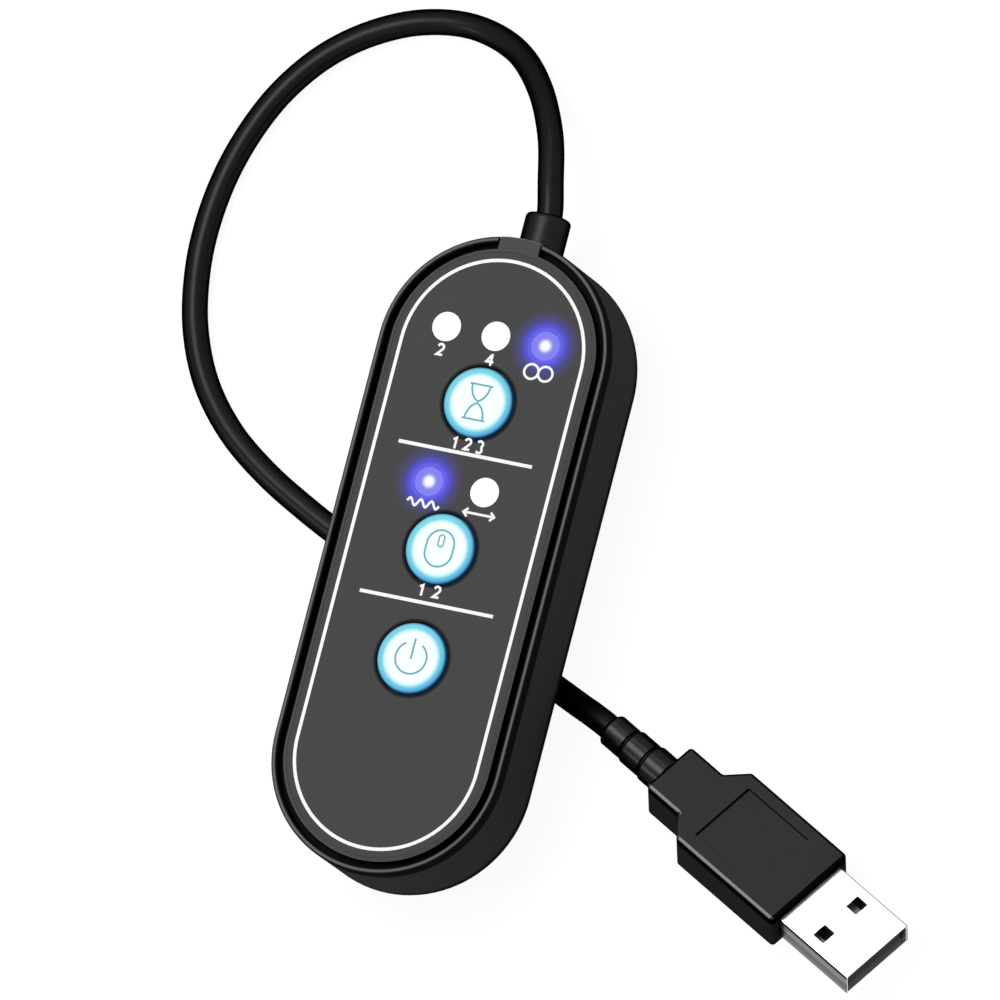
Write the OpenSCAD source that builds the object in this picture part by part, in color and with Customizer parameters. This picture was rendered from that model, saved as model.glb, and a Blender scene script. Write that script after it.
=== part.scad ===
// Desk gadget that keeps a pointer moving: a stadium-shaped housing with three lit push buttons,
// five indicator windows and a short captive cord that ends in a plug.
// Millimetres. The origin is on the desk under the middle of the housing, +Y runs towards the
// cord exit, and +Z is up, out of the face with the buttons.

/* [Housing] */
// Width over the long sides
body_w = 34; // [33:0.5:40]
// Length over the round ends
body_l = 92; // [91:1:110]
// Height from the underside to the face
body_h = 15.8; // [15.4:0.1:20]
// Thickness of the side wall
wall_t = 1.8; // [1.6:0.1:2.2]
// Thickness of the floor
floor_t = 1.6; // [1.2:0.1:2.2]
// Radius of the edge round the underside
edge_r = 2.2; // [1.2:0.1:2.4]
// Thickness of the rounded lip round the cover
lip_t = 0.85; // [0.7:0.05:1]
// Width of the groove between the lip and the cover
groove_w = 0.95; // [0.6:0.05:1.1]
// Width of the shelf that carries the cover's rim
shelf_w = 1.2; // [0.9:0.1:1.4]
// Thickness of that shelf where it leaves the wall
shelf_t = 1; // [0.8:0.1:1.4]

/* [Cover] */
// Thickness of the cover plate
cover_t = 2; // [1.6:0.1:2.4]
// Bevel along the cover's upper edge
cover_bevel = 0.25; // [0.1:0.05:0.4]
// Depth of the locating skirt under the cover
skirt_h = 1.2; // [0.8:0.1:1.4]
// Thickness of the locating skirt
skirt_t = 1; // [0.8:0.1:1.2]
// Gap between the skirt and the shelf
skirt_gap = 0.1; // [0.05:0.05:0.2]
// Width of the tongue that closes the wall slot over the cord
tongue_w = 6; // [5.6:0.1:6.4]
// Distance from the tongue's lower corners to the cord axis
tongue_drop = 2.4; // [2:0.1:2.8]

/* [Face label] */
// Thickness of the printed label
label_t = 0.25; // [0.15:0.05:0.4]
// Margin of the cover that shows round the label
label_margin = 0.5; // [0.4:0.1:0.8]
// Gap between the label and its recess
label_gap = 0.05; // [0.03:0.01:0.08]
// Thickness of the printed ink
ink_t = 0.05; // [0.03:0.01:0.08]
// Distance from the edge of the cover to the border line
border_inset = 1.7; // [1.4:0.1:2]
// Height of the printed numerals
mark_h = 1.7; // [1.3:0.1:1.8]
// Width of the pen that draws the small marks
mark_pen = 0.34; // [0.2:0.02:0.36]
// Width of the pen that draws the icons on the buttons
icon_pen = 0.26; // [0.2:0.02:0.3]
// Width of the border line
border_w = 0.48; // [0.3:0.02:0.6]
// Length of the two separator lines
separator_l = 20.1; // [16:0.1:22]
// Width of the separator lines
separator_w = 0.5; // [0.3:0.05:0.7]
// Distance from the timer button's edge to the upper separator
upper_separator_gap = 2.35; // [2.3:0.05:3]
// Distance from the mode button's edge to the lower separator
lower_separator_gap = 2.8; // [2.3:0.05:3.2]

/* [Push buttons] */
// Diameter of the lit cap
button_d = 10.1; // [9:0.1:10.6]
// Gap between a cap and its hole
button_gap = 0.2; // [0.15:0.05:0.3]
// How far a cap stands proud of the face
button_proud = 0.5; // [0.3:0.1:1]
// Radius of the cap's shoulder
button_round = 0.45; // [0.2:0.05:0.5]
// Width of the lit rim round the white face inlaid in a cap
button_rim = 0.75; // [0.65:0.05:1.2]
// Thickness of the inlaid face
button_face_t = 0.6; // [0.4:0.1:0.8]
// Gap round the inlaid face
inlay_gap = 0.05; // [0.03:0.01:0.08]
// Width of the flange that keeps a cap under the cover
flange_w = 0.85; // [0.6:0.05:1]
// Thickness of that flange
flange_t = 0.9; // [0.7:0.1:1.1]
// Play between the flange and the cover
flange_play = 0.1; // [0.05:0.05:0.2]
// Skirt thickness of the hollow cap
cap_wall = 1; // [0.8:0.1:1.4]
// Diameter of the post that works the switch
post_d = 3.6; // [3:0.1:4]
// How far the post reaches below the flange
post_reach = 0.1; // [0.05:0.05:0.3]
// Distance from the upper windows' axes to the timer button's edge
time_gap = 4.65; // [4.5:0.05:5.5]
// Distance from the lower windows' axes to the mode button's edge
mode_gap = 4; // [3.8:0.05:4.5]
// Distance from the lower separator to the power button's edge
power_gap = 2.95; // [1.5:0.05:4]

/* [Tact switches] */
// Side of the square switch body
switch_w = 6.2; // [6:0.1:6.6]
// Height of the switch body
switch_h = 3.5; // [3.1:0.1:3.7]
// Height from the board to the top of the plunger
switch_top = 5; // [4.8:0.1:5.2]
// Diameter of the plunger
plunger_d = 3.4; // [3:0.1:3.6]
// Running gap round the plunger
plunger_gap = 0.05; // [0.04:0.01:0.08]
// How deep the plunger reaches into the switch
plunger_in = 0.8; // [0.6:0.05:1]
// Travel of a button
button_travel = 0.25; // [0.2:0.01:0.3]
// Height of the snap dome when it is pressed flat
dome_flat = 0.15; // [0.1:0.01:0.25]
// Thickness of the snap dome
dome_t = 0.08; // [0.06:0.01:0.1]

/* [Indicator windows] */
// Diameter of a window where it meets the face
window_d = 4.2; // [3.6:0.1:4.6]
// Gap between a window and its hole
window_gap = 0.05; // [0.03:0.01:0.1]
// Width of the collar that seats a window under the cover
window_collar_w = 0.5; // [0.3:0.1:0.7]
// Thickness of that collar
window_collar_t = 0.8; // [0.5:0.1:1.2]
// Diameter of the light pipe below the collar
pipe_d = 3.2; // [2.6:0.1:3.6]
// Air gap between a light pipe and its lamp
pipe_air = 0.3; // [0.2:0.1:0.6]
// Spacing of the three upper windows
upper_pitch = 7.45; // [7:0.05:8]
// Distance from the cord end to the upper windows
upper_row_in = 14.3; // [14:0.1:15]
// Spacing of the two lower windows
lower_pitch = 8.4; // [7.5:0.1:9]
// Distance from the upper separator to the lower windows
lower_row_gap = 4.8; // [4.5:0.1:5.2]

/* [Circuit board] */
// Thickness of the board
board_t = 1.6; // [1.2:0.2:1.6]
// Gap between the board and the shelf it is lowered past
board_gap = 0.2; // [0.1:0.05:0.4]
// Size of an indicator lamp along X, Y and Z
lamp_size = [2, 1.25, 0.8];
// Distance from a button's axis to each of its two lamps
button_lamp_x = 4.6; // [4.4:0.1:5.4]
// Place of the controller along the board
controller_y = -27; // [-29:0.5:-25]
// Place of the crystal along the board
crystal_y = -35.5; // [-36:0.5:-33]
// Size of a small part along X, Y and Z
chip_part_size = [1.25, 2, 0.6];
// Distance from the centre line to the small parts beside the buttons
chip_part_x = 8.4; // [8:0.1:9]
// Distance along the board from a button to the small parts beside it
chip_part_y = 7; // [6:0.5:7]
// Distance from the centre line to the crystal's small parts
crystal_part_x = 6.8; // [6.2:0.1:7]

/* [Screws and feet] */
// Distance of the screws from the centre line
screw_x = 10.8; // [10.4:0.1:10.9]
// Distance of the screws from the housing's ends
screw_in = 19; // [18.5:0.1:19.5]
// Diameter of the screw thread
screw_d = 2; // [1.8:0.1:2.2]
// Length of the screw under its head
screw_l = 9.5; // [8.5:0.5:9.5]
// Diameter of the screw head
head_d = 3.8; // [3.4:0.1:4]
// Height of the screw head
head_h = 1.3; // [1:0.1:1.5]
// Gap round the screw where it only passes through
screw_gap = 0.1; // [0.05:0.05:0.2]
// Gap round the thread in its pilot hole
thread_gap = 0.02; // [0.01:0.01:0.03]
// Wall round the screw in the bosses
boss_wall = 1.2; // [1:0.1:1.4]
// Diameter of a rubber foot
foot_d = 7; // [6:0.1:7]
// Height of the feet below the housing
foot_h = 4.4; // [4.2:0.1:5]
// How deep a foot is set into the underside
foot_set = 0.8; // [0.6:0.1:1]
// Gap round a foot in its recess
foot_gap = 0.1; // [0.05:0.05:0.2]
// How much narrower a foot is where it stands
foot_taper = 0.5; // [0.3:0.1:0.8]

/* [Cord and strain relief] */
// Diameter of the cord
cord_d = 3.7; // [3.4:0.1:3.7]
// Depth of the cord axis below the face
cord_drop = 8.7; // [8.2:0.1:8.9]
// Diameter of the strain relief
relief_d = 6.5; // [6.2:0.1:6.8]
// How far the strain relief stands out of the housing
relief_out = 5.2; // [4.5:0.1:6]
// Rounding at the strain relief's outer end
relief_round = 0.7; // [0.4:0.1:0.9]
// Gap between the strain relief and its slot
relief_gap = 0.05; // [0.05:0.05:0.1]
// Width of the flange inside the wall
relief_flange_w = 1; // [0.8:0.1:1.4]
// Thickness of the flange inside the wall
relief_flange_t = 1.6; // [1.2:0.1:1.8]
// Depth of the flat pad that the flange pulls against
relief_pad_t = 0.8; // [0.6:0.1:1]
// Diameter of a lead inside the housing
lead_d = 0.7; // [0.6:0.1:0.8]
// Spacing of the four leads
lead_pitch = 1.2; // [1:0.1:1.4]
// Size of the lead connector along X, Y and Z
connector_size = [6.4, 4, 3.2];
// Length of the leads from the strain relief to the connector
lead_l = 1.8; // [1.4:0.1:2.2]

/* [Plug] */
// Length of the ribbed boot
boot_l = 11.4; // [10:0.1:13]
// Diameter of the boot at the cord
boot_d0 = 4.9; // [4.6:0.1:5.2]
// Diameter of the boot at the plug
boot_d1 = 5.7; // [5.3:0.1:6.2]
// Number of segments in the boot
boot_segments = 3; // [2:1:5]
// Radius of each segment's rear shoulder
boot_shoulder = 0.5; // [0.2:0.1:0.6]
// Width and depth of the grooves between the segments
boot_groove = 0.35; // [0.2:0.05:0.5]
// Width of the grip
grip_w = 14.8; // [14:0.1:16]
// Length of the grip
grip_l = 18.8; // [17:0.1:22]
// Length of the shoulders between neck and grip
shoulder_l = 2.7; // [2:0.1:4]
// Width of the neck
neck_w = 8.8; // [8:0.1:10]
// Length of the neck
neck_l = 6.3; // [4:0.1:8]
// Thickness of the moulded plug
grip_t = 7.5; // [7:0.1:8]
// Bevel along the plug's edges
grip_bevel = 0.5; // [0.4:0.1:0.9]
// Distance from the grip's rear end to the panel sunk in its broad face
panel_in = 1.6; // [1:0.1:2.4]
// Length of the panel, which runs out towards the front
panel_l = 13.6; // [10:0.1:15]
// Width of the panel
panel_w = 10.4; // [9:0.1:12]
// Depth of the panel at its rear end
panel_t = 0.3; // [0.15:0.05:0.4]
// Width of the metal shell
shell_w = 12; // [12:0.1:12.1]
// Height of the metal shell
shell_h = 4.5; // [4.5:0.1:4.6]
// Length of the shell outside the grip
shell_out = 13.1; // [11.8:0.1:13.4]
// Length of the shell inside the grip
shell_in = 5; // [4:0.1:6]
// Thickness of the shell's sheet metal
shell_t = 0.3; // [0.3:0.05:0.4]
// Outer radius of the shell's corners
shell_round = 0.4; // [0.35:0.05:0.7]
// Size of the latch windows along and across the shell
latch_size = [2, 2.3];
// Distance from the grip to the middle of the latch windows
latch_x = 6; // [5:0.1:6.6]
// Distance between the latch windows
latch_pitch = 6.4; // [6:0.1:6.8]
// Thickness of the tongue inside the shell
tongue_t = 1.84; // [1.7:0.02:1.9]
// How far the tongue ends behind the shell's mouth
tongue_back = 0.8; // [0.5:0.1:1.2]
// Width of a contact strip
contact_w = 1; // [0.8:0.1:1.2]
// Thickness of a contact strip
contact_t = 0.15; // [0.1:0.05:0.25]

/* [Hidden] */
$fn = 64;

// Every outline of the housing is a stadium with this straight length between its round ends
straight_l = body_l - body_w;
body_r = body_w / 2;
cavity_r = body_r - wall_t;
lip_r = body_r - lip_t;
cover_r = lip_r - groove_w;
shelf_r = cover_r - shelf_w;
skirt_r = shelf_r - skirt_gap;
label_r = cover_r - label_margin;
border_r = cover_r - border_inset;
board_r = shelf_r - board_gap;

// Heights, from the desk up
under_z = foot_h;
floor_z = under_z + floor_t;
face_z = under_z + body_h;
cover_z = face_z - cover_t;
shelf_z = cover_z - shelf_t;
cap_z = cover_z - flange_play - flange_t;
plunger_z = cap_z - post_reach;
board_z = plunger_z - switch_top;
board_under_z = board_z - board_t;
switch_z = board_z + switch_h;
button_z = face_z + button_proud;
head_z = under_z + foot_set;
cord_z = face_z - cord_drop;
dome_h = button_travel + dome_flat;

// The strain relief's stations along Y
pad_y = body_l / 2 - wall_t - relief_pad_t;
relief_in_y = pad_y - relief_flange_t;
relief_end_y = body_l / 2 + relief_out;
board_end_y = relief_in_y - 0.8;
lead_z = board_z + lead_d / 2 + 0.35;

// Sharper than this the eye sees flats on an arc drawn as a polygon
arc_steps = 10;
slack = 1;

// The face from the cord end down: each row is placed from the one above it
button_r = button_d / 2;
upper_row_y = body_l / 2 - upper_row_in;
time_y = upper_row_y - time_gap - button_r;
upper_separator_y = time_y - button_r - upper_separator_gap;
lower_row_y = upper_separator_y - lower_row_gap;
mode_y = lower_row_y - mode_gap - button_r;
lower_separator_y = mode_y - button_r - lower_separator_gap;
power_y = lower_separator_y - power_gap - button_r;
button_face_d = button_d - 2 * button_rim;
buttons_y = [time_y, mode_y, power_y];
upper_windows = [for (i = [-1:1]) [i * upper_pitch, upper_row_y]];
lower_windows = [for (i = [-1, 1]) [i * lower_pitch / 2, lower_row_y]];
windows = concat(upper_windows, lower_windows);
screws = [for (x = [-1, 1], y = [-1, 1]) [x * screw_x, y * (body_l / 2 - screw_in)]];

// The cord's route from the strain relief to the boot: out and down to the desk, round in a
// loop on the desk, under the housing between its feet, and up into the plug
cord_route = [
  [0, 51.2, 11.5], [-1.2, 56, 11.2], [-3.6, 63, 9.8], [-8.1, 69.9, 6.9], [-14, 74.9, 3.9],
  [-21.5, 77.2, 2.3], [-29.2, 76.5, 1.9], [-36.1, 73.6, 1.9], [-42, 69.2, 1.9], [-46.6, 63.5, 1.9],
  [-49.7, 57.3, 1.9], [-51.8, 50.3, 1.9], [-52.7, 43, 1.9], [-52.4, 35.7, 1.9], [-50.6, 27.8, 1.9],
  [-46.9, 20.3, 1.9], [-41.4, 14.1, 1.9], [-34.7, 9.3, 1.9], [-27.4, 5.4, 1.9], [-20, 2, 1.9],
  [-12.5, -1.1, 1.9], [-5, -4, 1.9], [2.5, -6.9, 1.9], [9, -9.6, 1.9], [14.5, -12, 2.1],
  [17.3, -13.2, 2.9], [20.1, -14.4, 4.3], [23, -15.6, 5.6], [26, -17, 6.2]
];
cord_sides = 16;
plug_heading = -27.6;
plug_roll = -23;
plug_dir = [cos(plug_heading), sin(plug_heading), 0];

// The plug's stations along its own axis, from the boot's rear
neck_x = boot_l;
shoulder_x = neck_x + neck_l;
grip_x = shoulder_x + shoulder_l;
front_x = grip_x + grip_l;
shell_x = front_x - shell_in;
tongue_z = shell_t - shell_h / 2;

// ---- Shared shapes ----

function arc(centre, r, from, to, steps = arc_steps) =
  [for (i = [0:steps]) centre + r * [cos(from + (to - from) * i / steps),
                                     sin(from + (to - from) * i / steps)]];

// Sweeps a half profile (X out from the centre line, Y up) round the stadium outline
module stadium_sweep() {
  for (turn = [0, 180])
    rotate([0, 0, turn]) translate([0, straight_l / 2, 0]) rotate_extrude(angle = 180) children();
  rotate([90, 0, 0]) translate([0, 0, -straight_l / 2]) linear_extrude(straight_l) {
    children();
    mirror([1, 0]) children();
  }
}

// A stadium-shaped plate or ring between two heights
module stadium_plate(r, low, high, inner_r = 0)
  stadium_sweep() translate([inner_r, low]) square([r - inner_r, high - low]);

// A turned piece about the vertical axis at a place on the face
module turned(at, profile) translate([at[0], at[1], 0]) rotate_extrude() polygon(profile);

// A cylinder along +Y that starts at a station and a height
module along_y(x, y, z, r, l) translate([x, y, z]) rotate([-90, 0, 0]) cylinder(h = l, r = r);

// A block on the board's upper face, centred on a place
module on_board(at, size, lift = 0)
  translate([at[0] - size[0] / 2, at[1] - size[1] / 2, board_z + lift]) cube(size);

function unit(v) = v / norm(v);
function left_of(v) = [-v[1], v[0]];

// Half the width of a pen stroke at one of its points, square to the corner there
function pen_side(pts, i, w) =
  let (back = unit(i > 0 ? pts[i] - pts[i - 1] : pts[1] - pts[0]),
       ahead = unit(i < len(pts) - 1 ? pts[i + 1] - pts[i] : pts[i] - pts[i - 1]),
       corner = unit(left_of(back) + left_of(ahead)))
  corner * w / 2 / (corner * left_of(back));

// A printed line of even width through the points
module stroke(pts, w)
  polygon(concat([for (i = [0:len(pts) - 1]) pts[i] + pen_side(pts, i, w)],
                 [for (i = [len(pts) - 1:-1:0]) pts[i] - pen_side(pts, i, w)]));

// ---- Housing ----

module foot_places() for (s = screws) translate([s[0], s[1], 0]) children();

module base_shell() color([0.09, 0.09, 0.1]) difference() {
  union() {
    stadium_sweep() polygon(concat(
      [[0, under_z]],
      arc([body_r - edge_r, under_z + edge_r], edge_r, -90, 0),
      arc([body_r - lip_t / 2, face_z - lip_t / 2], lip_t / 2, 0, 180),
      [[lip_r, cover_z], [shelf_r, cover_z], [shelf_r, shelf_z],
       [cavity_r, shelf_z - (cavity_r - shelf_r)], [cavity_r, floor_z], [0, floor_z]]));
    // A flat pad inside the wall, for the strain relief's flange
    translate([-relief_d / 2 - relief_flange_w, pad_y, floor_z - floor_t / 2])
      cube([relief_d + 2 * relief_flange_w, wall_t / 2 + relief_pad_t,
            shelf_z - floor_z + floor_t / 2]);
    foot_places() translate([0, 0, floor_z - floor_t / 4])
      cylinder(h = board_under_z - floor_z + floor_t / 4, d = screw_d + 2 * (screw_gap + boss_wall));
    foot_places() translate([0, 0, floor_z - floor_t / 4])
      cylinder(h = head_z + head_h - floor_z + boss_wall + floor_t / 4,
               d = head_d + 2 * (screw_gap + boss_wall));
  }
  foot_places() {
    translate([0, 0, under_z - slack]) cylinder(h = foot_set + slack, d = foot_d + 2 * foot_gap);
    translate([0, 0, under_z]) cylinder(h = foot_set + head_h, d = head_d + 2 * screw_gap);
    translate([0, 0, under_z]) cylinder(h = body_h / 2, d = screw_d + 2 * screw_gap);
  }
  // The slot that the strain relief drops into, open at the top
  along_y(0, pad_y - slack, cord_z, relief_d / 2 + relief_gap, wall_t + relief_pad_t + 2 * slack);
  translate([-relief_d / 2 - relief_gap, pad_y - slack, cord_z])
    cube([relief_d + 2 * relief_gap, wall_t + relief_pad_t + 2 * slack, cord_drop + slack]);
}

module face_holes(low, extra = 0) {
  for (y = buttons_y) translate([0, y, low])
    cylinder(h = cover_t + 2 * slack, d = button_d + 2 * button_gap + extra);
  for (w = windows) translate([w[0], w[1], low])
    cylinder(h = cover_t + 2 * slack, d = window_d + 2 * window_gap + extra);
}

module top_cover() color([0.28, 0.28, 0.285]) {
  difference() {
    union() {
      stadium_sweep() polygon([
        [0, cover_z], [skirt_r - skirt_t, cover_z], [skirt_r - skirt_t, cover_z - skirt_h],
        [skirt_r, cover_z - skirt_h], [skirt_r, cover_z], [cover_r, cover_z],
        [cover_r, face_z - cover_bevel], [cover_r - cover_bevel, face_z], [0, face_z]]);
      foot_places() translate([0, 0, board_z])
        cylinder(h = cover_z - board_z + slack / 2, d = screw_d + 2 * (thread_gap + boss_wall));
      // The tongue over the cord, cut to the housing's outline
      intersection() {
        translate([-tongue_w / 2, pad_y + relief_gap, cord_z + tongue_drop])
          cube([tongue_w, body_r, cord_drop - tongue_drop]);
        stadium_sweep() polygon([
          [0, cord_z], [body_r, cord_z], [body_r, face_z - cover_bevel],
          [body_r - cover_bevel, face_z], [0, face_z]]);
      }
    }
    face_holes(cover_z - slack);
    stadium_plate(label_r + label_gap, face_z - label_t, face_z + slack);
    foot_places() translate([0, 0, board_z - slack])
      cylinder(h = cover_z - board_z, d = screw_d + 2 * thread_gap);
    along_y(0, straight_l / 2, cord_z, relief_d / 2 + relief_gap, body_w);
  }
}

module face_label() color([0.29, 0.29, 0.295]) difference() {
  stadium_plate(label_r, face_z - label_t, face_z);
  face_holes(cover_z);
}

module label_lines() color("white") {
  stadium_plate(border_r + border_w / 2, face_z, face_z + ink_t, border_r - border_w / 2);
  for (y = [upper_separator_y, lower_separator_y])
    translate([-separator_l / 2, y - separator_w / 2, face_z])
      cube([separator_l, separator_w, ink_t]);
}

// ---- Printed marks: plain numerals, an endless loop, a wave and a double arrow ----

module numeral(n, h, w) {
  r = h * 0.25;
  low = -h / 2 + w / 2;
  if (n == 1) stroke([[-r, h * 0.25], [0, h / 2 - w / 2], [0, -h / 2]], w);
  if (n == 2) stroke(concat(arc([0, h / 2 - r], r, 170, -35, 6), [[-r, low], [r, low]]), w);
  if (n == 3) stroke(concat(arc([0, h / 2 - r], r, 150, -45, 6), arc([0, r - h / 2], r, 45, -150, 6)), w);
  if (n == 4) {
    stroke([[r * 1.4, -h * 0.18], [-r, -h * 0.18], [r * 0.4, h / 2 - w / 2]], w);
    translate([r * 0.6, 0]) square([w, h], center = true);
  }
}

module ink_at(x, y, z = face_z) translate([x, y, z]) linear_extrude(ink_t) children();

module caption_marks() color("white") {
  upper_mark_y = upper_row_y - 3.4;
  lower_mark_y = lower_row_y - 3.2;
  loop_y = upper_row_y - 3.9;
  caption_gap = button_r + 1.05;
  wave_l = 4.8;
  wave_h = 0.5;
  arrow_l = 4.6;
  barb = 0.6;
  loop_d = 2.1;
  timer_pitch = 1.8;
  mode_pitch = 2.2;
  ink_at(-upper_pitch, upper_mark_y) numeral(2, mark_h, mark_pen);
  ink_at(0, upper_mark_y) numeral(4, mark_h, mark_pen);
  ink_at(upper_pitch, loop_y) difference() {
    for (side = [-1, 1]) translate([side * loop_d / 2, 0]) circle(d = loop_d + mark_pen);
    for (side = [-1, 1]) translate([side * loop_d / 2, 0]) circle(d = loop_d - mark_pen);
  }
  ink_at(-lower_pitch / 2, lower_mark_y)
    stroke([for (i = [0:24]) [(i / 24 - 0.5) * wave_l, wave_h * sin(i * 45)]], mark_pen);
  ink_at(lower_pitch / 2, lower_mark_y) {
    square([arrow_l - 2 * mark_pen, mark_pen], center = true);
    for (side = [-1, 1])
      stroke([[side * (arrow_l / 2 - barb), barb], [side * arrow_l / 2, 0],
              [side * (arrow_l / 2 - barb), -barb]], mark_pen);
  }
  for (n = [1:3])
    ink_at((n - 2) * timer_pitch, time_y - caption_gap) numeral(n, mark_h, mark_pen);
  for (n = [1:2])
    ink_at((n - 1.5) * mode_pitch, mode_y - caption_gap) numeral(n, mark_h, mark_pen);
}

// ---- Indicator windows and lamps ----

module window(at) color([0.96, 0.97, 1]) turned(at, [
  [0, board_z + lamp_size[2] + pipe_air], [pipe_d / 2, board_z + lamp_size[2] + pipe_air],
  [pipe_d / 2, cover_z - window_collar_t],
  [window_d / 2 + window_collar_w, cover_z - window_collar_t],
  [window_d / 2 + window_collar_w, cover_z], [window_d / 2, cover_z], [window_d / 2, face_z],
  [0, face_z]]);

module indicator_lamps() color([0.9, 0.9, 0.8]) for (w = windows) on_board(w, lamp_size);

// ---- Push buttons, each a hollow lit cap with an inlaid face, over a tact switch ----

module cap(y) color([0.2, 0.72, 0.93]) turned([0, y], concat(
  [[0, plunger_z], [post_d / 2, plunger_z], [post_d / 2, face_z - cover_t / 2],
   [button_d / 2 - cap_wall, face_z - cover_t / 2], [button_d / 2 - cap_wall, cap_z],
   [button_d / 2 + flange_w, cap_z], [button_d / 2 + flange_w, cap_z + flange_t],
   [button_d / 2, cap_z + flange_t]],
  arc([button_d / 2 - button_round, button_z - button_round], button_round, 0, 90),
  [[button_face_d / 2 + inlay_gap, button_z],
   [button_face_d / 2 + inlay_gap, button_z - button_face_t], [0, button_z - button_face_t]]));

module inlaid_face(y) color([0.93, 1, 1]) translate([0, y, button_z - button_face_t])
  cylinder(h = button_face_t, d = button_face_d);

module plunger(y) color([0.15, 0.15, 0.16]) translate([0, y, switch_z - plunger_in])
  cylinder(h = plunger_z - switch_z + plunger_in, d = plunger_d);

// A sprung metal dome that snaps flat under the plunger
module dome(y) color([0.8, 0.8, 0.78]) {
  span_r = plunger_d / 2 - plunger_gap;
  foot_z = switch_z - plunger_in - dome_h;
  dome_r = (span_r * span_r + dome_h * dome_h) / (2 * dome_h);
  inner_r = dome_r - dome_t;
  centre = [0, foot_z + dome_h - dome_r];
  turned([0, y], concat(arc(centre, dome_r, 90, asin((dome_r - dome_h) / dome_r)),
                        arc(centre, inner_r, asin((dome_r - dome_h) / inner_r), 90)));
}

module switch_bodies() color([0.12, 0.12, 0.13]) for (y = buttons_y) difference() {
  on_board([0, y], [switch_w, switch_w, switch_h]);
  translate([0, y, switch_z - plunger_in - dome_h])
    cylinder(h = switch_h, d = plunger_d + 2 * plunger_gap);
}

module button_lamps() color([0.85, 0.9, 1])
  for (y = buttons_y, side = [-1, 1]) on_board([side * button_lamp_x, y],
                                               [lamp_size[1], lamp_size[0], lamp_size[2]]);

// ---- Icons printed on the inlaid faces ----

module time_icon() color([0.2, 0.55, 0.6]) ink_at(0, time_y, button_z) {
  icon_w = 3.4;
  bulb_w = 2.7;
  bulb_h = 2.5;
  for (end = [-1, 1]) {
    translate([0, end * bulb_h]) square([icon_w, icon_pen], center = true);
    stroke([for (a = [-90:15:90]) [bulb_w / 2 * sin(a),
                                   end * bulb_h * (1 - 0.6 * cos(a) - 0.35 * (1 - abs(a) / 90))]],
           icon_pen);
  }
}

// An upright oval with straight sides
module oval(w, h)
  polygon(concat(arc([0, (h - w) / 2], w / 2, 0, 180, 16), arc([0, (w - h) / 2], w / 2, 180, 360, 16)));

module oval_outline(w, h, pen) difference() {
  oval(w, h);
  oval(w - 2 * pen, h - 2 * pen);
}

module mode_icon() color([0.2, 0.55, 0.6]) ink_at(0, mode_y, button_z) {
  body_size = [4.3, 5.5];
  wheel_size = [1, 1.9];
  wheel_y = 1.1;
  oval_outline(body_size[0], body_size[1], icon_pen);
  translate([0, wheel_y]) oval_outline(wheel_size[0], wheel_size[1], icon_pen * 0.8);
}

module power_icon() color([0.2, 0.55, 0.6]) ink_at(0, power_y, button_z) {
  ring_r = 2.3;
  bar_l = 3;
  mouth = 32;
  stroke(arc([0, 0], ring_r, 90 + mouth, 450 - mouth, 30), icon_pen);
  translate([0, ring_r - bar_l / 2 + 0.5]) square([icon_pen, bar_l], center = true);
}

// ---- Circuit board and what is on it ----

module circuit_board() color([0.05, 0.35, 0.2]) difference() {
  stadium_plate(board_r, board_under_z, board_z);
  foot_places() translate([0, 0, board_under_z - slack])
    cylinder(h = board_t + 2 * slack, d = screw_d + 4 * screw_gap);
  translate([-body_w / 2, board_end_y, board_under_z - slack])
    cube([body_w, body_r, board_t + 2 * slack]);
}

module controller_chip() color([0.1, 0.1, 0.1]) {
  chip_size = [10, 4, 1.5];
  leg_size = [0.4, 6, 0.25];
  stand = 0.25;
  on_board([0, controller_y], chip_size, stand);
  for (i = [0:7]) on_board([(i - 3.5) * 1.27, controller_y], leg_size);
}

module crystal() color([0.8, 0.8, 0.8]) {
  can_l = 10;
  can_w = 4.2;
  can_h = 3.4;
  translate([0, crystal_y, board_z]) {
    translate([-(can_l - can_w) / 2, -can_w / 2, 0]) cube([can_l - can_w, can_w, can_h]);
    for (side = [-1, 1]) translate([side * (can_l - can_w) / 2, 0, 0])
      cylinder(h = can_h, d = can_w);
  }
}

module chip_parts() color([0.6, 0.5, 0.35]) for (side = [-1, 1]) {
  for (y = [time_y - chip_part_y, mode_y + chip_part_y, mode_y - chip_part_y, power_y])
    on_board([side * chip_part_x, y], chip_part_size);
  on_board([side * crystal_part_x, crystal_y], chip_part_size);
}

module lead_connector() color([0.93, 0.92, 0.88])
  on_board([0, relief_in_y - lead_l - connector_size[1] / 2], connector_size);

module cord_leads() color([0.7, 0.1, 0.1]) for (i = [-1.5:1.5])
  along_y(i * lead_pitch, relief_in_y - lead_l, lead_z, lead_d / 2, lead_l);

// ---- Screws and feet ----

module housing_screws() color([0.7, 0.7, 0.72]) foot_places() difference() {
  translate([0, 0, head_z]) {
    cylinder(h = head_h, d = head_d);
    cylinder(h = head_h + screw_l, d = screw_d);
  }
  for (turn = [0, 90]) rotate([0, 0, turn])
    translate([-head_d / 3, -0.25, head_z - slack]) cube([head_d / 1.5, 0.5, slack + head_h / 2]);
}

module rubber_feet() color([0.06, 0.06, 0.06]) for (s = screws) turned(s, [
  [0, 0], [foot_d / 2 - foot_taper, 0], [foot_d / 2 - foot_taper / 2, foot_taper / 2],
  [foot_d / 2, under_z], [foot_d / 2, head_z], [0, head_z]]);

// ---- Cord, strain relief and plug ----

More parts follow.
